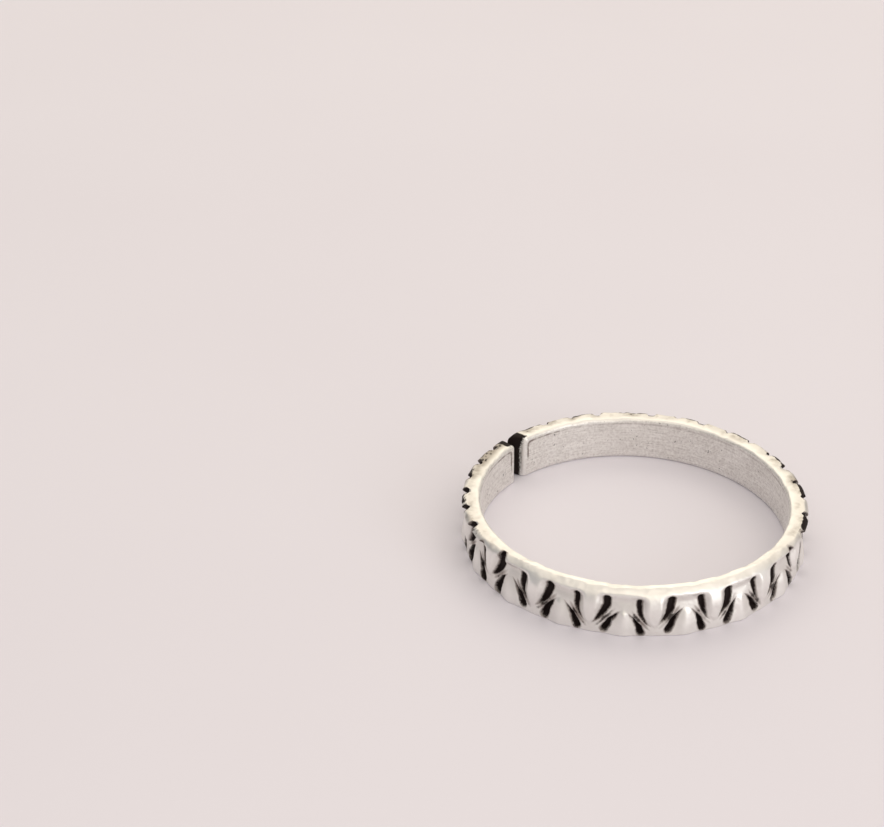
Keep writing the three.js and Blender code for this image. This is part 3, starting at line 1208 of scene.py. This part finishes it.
        sweep_angle = add_node(tree, MATH, {0: math.tau, 1: size["Slit Angle"]}, operation="SUBTRACT")
        start = add_node(
            tree, MATH, {0: size["Slit Angle"], 1: 0.5, 2: math.pi / 2}, operation="MULTIPLY_ADD"
        )
        path = add_node(
            tree,
            "GeometryNodeCurveArc",
            {
                "Resolution": size["Columns"],
                "Radius": middle,
                "Start Angle": start,
                "Sweep Angle": sweep_angle,
            },
            mode="RADIUS",
        )
        level = add_node(tree, "GeometryNodeSetCurveNormal", {"Curve": path}, mode="Z_UP")
        spot = add_node(tree, "GeometryNodeSplineParameter").outputs["Length"]
        length = add_node(tree, MATH, {0: middle, 1: sweep_angle}, operation="MULTIPLY")
        rest = add_node(tree, MATH, {0: length, 1: spot}, operation="SUBTRACT")
        from_end = add_node(tree, MATH, {0: rest, 1: spot}, operation="MINIMUM")
        is_far = add_node(tree, MATH, {0: spot, 1: rest}, operation="GREATER_THAN")
        marked = level
        for label, value in (("from_end", from_end), ("far", is_far)):
            marked = add_node(
                tree,
                STORE,
                {"Geometry": marked, "Name": label, "Value": value},
                data_type="FLOAT",
                domain="POINT",
            )
        band = add_node(tree, CURVE_TO_MESH, {"Curve": marked, "Profile Curve": divided, "Fill Caps": True})
        rounded_off = self.round_ends(tree, size, band, middle)
        lift = add_node(tree, MATH, {0: size["Width"], 1: 0.5}, operation="MULTIPLY")
        up = add_node(tree, COMBINE, {"Z": lift})
        return add_node(tree, TRANSFORM, {"Geometry": rounded_off, "Translation": up})

    def round_ends(self, tree: Tree, size: Sockets, band: Node, middle: Node) -> Node:
        """Rounds each end over: draws its section in towards the middle, most on the side of the toe.

        Args:
            tree: The band's tree.
            size: The sockets of its group input.
            band: The swept band, whose attributes give the length to the nearer end and say which it is.
            middle: The node that gives the radius of the section's middle.

        Returns:
            The band with both ends rounded.
        """
        along = add_node(tree, NAMED, {"Name": "from_end"}, data_type="FLOAT")
        is_far = add_node(tree, NAMED, {"Name": "far"}, data_type="FLOAT")
        end_round = add_node(
            tree,
            MIX,
            {"Factor": is_far, "A": size["Near End Round"], "B": size["Far End Round"]},
            data_type="FLOAT",
        )
        beyond = add_node(tree, MATH, {0: end_round, 1: along}, operation="SUBTRACT")
        reach = add_node(tree, MATH, {0: beyond, 1: 0.0}, operation="MAXIMUM")
        radius_squared = add_node(tree, MATH, {0: end_round, 1: 2.0}, operation="POWER")
        reach_squared = add_node(tree, MATH, {0: reach, 1: 2.0}, operation="POWER")
        left = add_node(tree, MATH, {0: radius_squared, 1: reach_squared}, operation="SUBTRACT")
        chord = add_node(tree, MATH, {0: left}, operation="SQRT")
        drawn = add_node(tree, MATH, {0: end_round, 1: chord}, operation="SUBTRACT")
        place = add_node(tree, POSITION)
        axes = add_node(tree, SEPARATE, {0: place}).outputs
        flat = add_node(tree, COMBINE, {"X": axes["X"], "Y": axes["Y"]})
        radius = add_node(tree, VECTOR_MATH, {0: flat}, operation="LENGTH").outputs["Value"]
        outwards = add_node(tree, VECTOR_MATH, {0: flat}, operation="NORMALIZE")
        across = add_node(tree, MATH, {0: radius, 1: middle}, operation="SUBTRACT")
        side = add_node(tree, MATH, {0: across, 1: size["Thickness"]}, operation="DIVIDE")
        lean = add_node(
            tree,
            MAP_RANGE,
            {"Value": side, "From Min": -0.5, "From Max": 0.5, "To Min": 1.0, "To Max": -0.15},
        )
        inset = add_node(tree, MATH, {0: lean, 1: drawn}, operation="MULTIPLY")
        height = add_node(tree, MATH, {0: axes["Z"], 1: size["Width"]}, operation="DIVIDE")
        lower = add_node(tree, MATH, {0: height, 1: drawn}, operation="MULTIPLY")
        settle = add_node(tree, MATH, {0: lower, 1: -1.0}, operation="MULTIPLY")
        inwards = add_node(tree, VECTOR_MATH, {0: outwards, "Scale": inset}, operation="SCALE")
        level = add_node(tree, COMBINE, {"Z": settle})
        offset = add_node(tree, VECTOR_MATH, {0: inwards, 1: level}, operation="ADD")

        # The far end is cut at a slant, so its outer corner reaches over the slit.
        across_share = add_node(tree, MATH, {0: side, 1: 0.5}, operation="ADD")
        near_cut = add_node(tree, MAP_RANGE, {"Value": along, "From Min": self.slant_reach, "From Max": 0.0})
        pushed = add_node(tree, MATH, {0: size["Far End Slant"], 1: is_far}, operation="MULTIPLY")
        for share in (across_share, near_cut):
            pushed = add_node(tree, MATH, {0: pushed, 1: share}, operation="MULTIPLY")
        onwards = add_node(tree, VECTOR_MATH, {0: (0, 0, 1), 1: outwards}, operation="CROSS_PRODUCT")
        slanted = add_node(tree, VECTOR_MATH, {0: onwards, "Scale": pushed}, operation="SCALE")
        moved = add_node(tree, VECTOR_MATH, {0: offset, 1: slanted}, operation="ADD")
        return add_node(tree, MOVE, {"Geometry": band, "Offset": moved})

    def build(self) -> bpy.types.Object:
        """Grows the band and turns it into a plain mesh.

        Returns:
            The band's object, at the origin, with its material on it.
        """
        tree = self.band_tree()
        values = self.sizes() | {"Silver": self.finish.material()}
        obj = bpy.data.objects.new(self.name, bpy.data.meshes.new(self.name))
        bpy.context.scene.collection.objects.link(obj)
        modifier = obj.modifiers.new("grow", "NODES")
        modifier.node_group = tree
        for item in tree.interface.items_tree:
            if item.in_out == "INPUT":
                modifier[item.identifier] = values[item.name]
        grown = obj.evaluated_get(bpy.context.evaluated_depsgraph_get())
        mesh = bpy.data.meshes.new_from_object(grown)
        obj.modifiers.remove(modifier)
        obj.data = mesh
        mesh.name = self.name
        return obj


@dataclass(frozen=True)
class SoftLight:
    """One square soft light, placed as seen from the ring.

    Attributes:
        name: The light's name.
        watts: Its power.
        side_mm: The length of its side.
        bearing_deg: Its direction round the ring, from the camera's side counterclockwise.
        elevation_deg: Its height above the floor.
        distance_mm: How far it hangs from the ring.
        tint: Its colour.
    """

    name: str
    watts: float
    side_mm: float
    bearing_deg: float
    elevation_deg: float
    distance_mm: float
    tint: str


@dataclass
class Studio:
    """The floor, the soft lights and the camera.

    Attributes:
        floor_mm: The length of the floor's side.
        azimuth_deg: The camera's direction round the ring.
        elevation_deg: Its height above the floor.
        roll_deg: How far it leans to one side.
        distance_mm: How far it stands from the point that it aims at.
        aim_mm: That point, on the floor.
        lens_mm: Its focal length.
        sensor_mm: The width of its sensor.
        board: What the floor is made of.
        surround: The colour of the even light from all round.
        surround_strength: How strong that light is.
        lights: The soft lights, by name, watts, side, bearing, elevation, distance and tint.
    """

    floor_mm: float = 4000.0
    azimuth_deg: float = -45.5
    elevation_deg: float = 29.69
    roll_deg: float = -0.66
    distance_mm: float = 106.4
    aim_mm: tuple[float, float, float] = (2.455, 16.349, 0.0)
    lens_mm: float = 73.3
    sensor_mm: float = 36.0
    board: PaleBoard = field(default_factory=PaleBoard)
    surround: str = "#f3f2f2"
    surround_strength: float = 0.39
    lights: tuple[SoftLight, ...] = (
        SoftLight("back_window", 0.62, 480, 180, 36, 420, "#fff2da"),
        SoftLight("top", 0.9, 800, 0, 88, 300, "#fff1de"),
        SoftLight("key", 0.2, 150, 44, 15, 300, "#ffffff"),
        SoftLight("front_window", 0.34, 420, 10, 42, 400, "#fff0dc"),
        SoftLight("side_window", 0.18, 420, 98, 34, 400, "#ffeed6"),
    )

    def lay_floor(self) -> bpy.types.Object:
        """Lays the plain pale floor that the ring rests on.

        Returns:
            The floor's object.
        """
        half = self.floor_mm * MM / 2
        mesh = bpy.data.meshes.new("floor")
        corners = [(-half, -half, 0), (half, -half, 0), (half, half, 0), (-half, half, 0)]
        mesh.from_pydata(corners, [], [(0, 1, 2, 3)])
        mesh.materials.append(self.board.material())
        floor = bpy.data.objects.new("floor", mesh)
        bpy.context.scene.collection.objects.link(floor)
        return floor

    def hang(self, light: SoftLight) -> bpy.types.Object:
        """Hangs one soft light, facing the ring.

        Args:
            light: What it is and where it goes.

        Returns:
            The light's object.
        """
        lamp = bpy.data.lights.new(light.name, "AREA")
        lamp.energy = light.watts
        lamp.size = light.side_mm * MM
        lamp.color = linear(light.tint)[:3]
        obj = bpy.data.objects.new(light.name, lamp)
        heading = math.radians(self.azimuth_deg + light.bearing_deg)
        turn = Euler((math.radians(90 - light.elevation_deg), 0, heading), "XYZ").to_matrix()
        place = turn @ Vector((0, 0, light.distance_mm * MM))
        obj.matrix_world = Matrix.Translation(place) @ turn.to_4x4()
        bpy.context.scene.collection.objects.link(obj)
        return obj

    def light(self) -> None:
        """Sets the even pale surround and hangs the soft lights."""
        world = bpy.data.worlds.new("studio")
        world.use_nodes = True
        background = world.node_tree.nodes["Background"]
        background.inputs["Color"].default_value = linear(self.surround)
        background.inputs["Strength"].default_value = self.surround_strength
        bpy.context.scene.world = world
        for light in self.lights:
            self.hang(light)

    def place_camera(self) -> bpy.types.Object:
        """Places the camera at the photograph's viewing angle.

        Returns:
            The camera's object.
        """
        data = bpy.data.cameras.new("camera")
        data.sensor_fit = "HORIZONTAL"
        data.sensor_width = self.sensor_mm
        data.lens = self.lens_mm
        data.clip_start = MM
        camera = bpy.data.objects.new("camera", data)
        turn = Euler(
            (math.radians(90 - self.elevation_deg), 0, math.radians(self.azimuth_deg)), "XYZ"
        ).to_matrix()
        turn = turn @ Matrix.Rotation(math.radians(self.roll_deg), 3, "Z")
        place = Vector(self.aim_mm) * MM + turn @ Vector((0, 0, self.distance_mm * MM))
        camera.matrix_world = Matrix.Translation(place) @ turn.to_4x4()
        bpy.context.scene.collection.objects.link(camera)
        bpy.context.scene.camera = camera
        return camera

    def build(self) -> None:
        """Sets up the floor, the lights, the camera and plain display colours."""
        self.lay_floor()
        self.light()
        self.place_camera()
        bpy.context.scene.view_settings.view_transform = "Standard"


def main() -> None:
    """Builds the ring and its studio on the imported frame."""
    logging.basicConfig(level=logging.INFO, format="%(message)s")
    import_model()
    Studio().build()
    band = CastBand().build()
    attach(band, "root")
    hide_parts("band")
    LOG.info("%s: %d faces", band.name, len(band.data.polygons))


if __name__ == "__main__":
    main()
